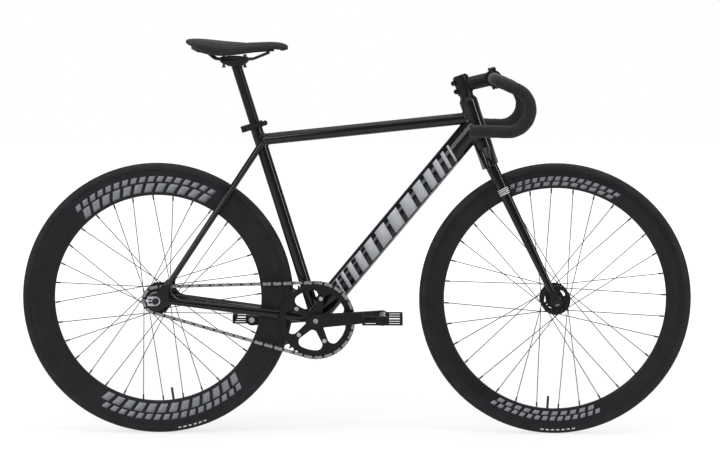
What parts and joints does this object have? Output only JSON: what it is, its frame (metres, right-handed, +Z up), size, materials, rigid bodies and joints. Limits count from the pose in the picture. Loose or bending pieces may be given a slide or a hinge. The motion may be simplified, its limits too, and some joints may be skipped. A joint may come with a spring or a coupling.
{
  "type": "fixed gear bicycle",
  "caption": "Brakeless fixed gear road bicycle with drop bars, deep rims, a chain drive and a slim saddle on a quick release seatpost.",
  "frame": {"origin": "on the ground midway between the two axles, in the bicycle's middle plane", "axes": "+X forward, +Y to the rider's left, +Z up; the chain is on the -Y side"},
  "size_m": [1.6543, 0.4306, 0.9776],
  "materials": {
    "frame_paint": "gloss black paint",
    "black_alloy": "satin black anodised",
    "black_rim": "satin black anodised",
    "bright_alloy": "brushed",
    "steel": "bright zinc",
    "dark_steel": "dark plated",
    "chain_steel": "nickel plated",
    "tyre_rubber": "matte",
    "tube_rubber": "matte",
    "bar_tape": "matte wrapped",
    "saddle_skin": "matte synthetic",
    "black_plastic": "matte"
  },
  "bodies": {
    "frame": {"head_tube": "frame_paint", "top_tube": "frame_paint", "down_tube": "frame_paint", "seat_tube": "frame_paint", "bottom_bracket_shell": "frame_paint", "chain_stay_right": "frame_paint", "chain_stay_left": "frame_paint", "seat_stay_right": "frame_paint", "seat_stay_left": "frame_paint", "dropout_right": "frame_paint", "dropout_left": "frame_paint", "headset_bearings": "steel", "bottom_bracket_cups": "steel", "seat_clamp_collar": "black_alloy", "seat_clamp_skewer": "dark_steel", "rear_axle": "dark_steel", "chain_tensioners": "bright_alloy", "chain": "chain_steel"},
    "seat": {"seatpost": "black_alloy", "seatpost_clamp": "black_alloy", "seatpost_bolts": "steel", "saddle_rails": "dark_steel", "saddle_shell": "black_plastic", "saddle_cover": "saddle_skin"},
    "seat_clamp_lever": {"seat_clamp_lever": "black_alloy"},
    "steering": {"fork_steerer": "steel", "fork_crown": "frame_paint", "fork_blade_right": "frame_paint", "fork_blade_left": "frame_paint", "headset_spacers": "black_alloy", "steerer_cap": "black_alloy", "stem": "black_alloy", "stem_faceplate": "black_alloy", "stem_bolts": "steel", "handlebar": "black_alloy", "bar_tape_right": "bar_tape", "bar_tape_left": "bar_tape", "bar_end_plugs": "black_plastic", "front_axle": "dark_steel"},
    "front_wheel": {"front_tyre": "tyre_rubber", "front_inner_tube": "tube_rubber", "front_rim": "black_rim", "front_spokes": "dark_steel", "front_hub": "black_alloy", "front_hub_bearings": "steel"},
    "rear_wheel": {"rear_tyre": "tyre_rubber", "rear_inner_tube": "tube_rubber", "rear_rim": "black_rim", "rear_spokes": "dark_steel", "rear_hub": "black_alloy", "rear_hub_bearings": "steel", "rear_sprocket": "chain_steel"},
    "crankset": {"crank_right": "black_alloy", "crank_left": "black_alloy", "chainring": "black_alloy", "crankset_bolts": "steel", "bottom_bracket_spindle": "steel", "pedal_spindles": "steel"},
    "right_pedal": {"pedal_right": "black_alloy"},
    "left_pedal": {"pedal_left": "black_alloy"}
  },
  "joints": [
    {"name": "steering_turn", "type": "hinge", "parent": "frame", "child": "steering", "pos_m": [0.44862, 0, 0.32135], "axis": [-0.3256, 0, 0.9455], "range_deg": [-70, 70]},
    {"name": "front_wheel_spin", "type": "hinge", "parent": "steering", "child": "front_wheel", "pos_m": [0.49117, 0, 0.336], "axis": [0, 1, 0], "continuous": true},
    {"name": "rear_wheel_spin", "type": "hinge", "parent": "frame", "child": "rear_wheel", "pos_m": [-0.49117, 0, 0.336], "axis": [0, 1, 0], "continuous": true, "deforming": ["chain"]},
    {"name": "crank_spin", "type": "hinge", "parent": "frame", "child": "crankset", "pos_m": [-0.09883, 0, 0.287], "axis": [0, 1, 0], "continuous": true, "deforming": ["chain"]},
    {"name": "right_pedal_spin", "type": "hinge", "parent": "crankset", "child": "right_pedal", "pos_m": [0.06559, 0, 0.30081], "axis": [0, 1, 0], "continuous": true},
    {"name": "left_pedal_spin", "type": "hinge", "parent": "crankset", "child": "left_pedal", "pos_m": [-0.26325, 0, 0.27319], "axis": [0, 1, 0], "continuous": true},
    {"name": "seatpost_slide", "type": "slide", "parent": "frame", "child": "seat", "axis": [-0.299, 0, 0.9542], "range_m": [-0.1, 0.04]},
    {"name": "seat_clamp_lever_turn", "type": "hinge", "parent": "frame", "child": "seat_clamp_lever", "pos_m": [-0.27488, -0.0133, 0.75581], "axis": [0.299, 0, -0.9542], "range_deg": [0, 120]}
  ],
  "couplings": [
    {"joint": "crank_spin", "follows": "rear_wheel_spin", "ratio": 0.34783}
  ]
}
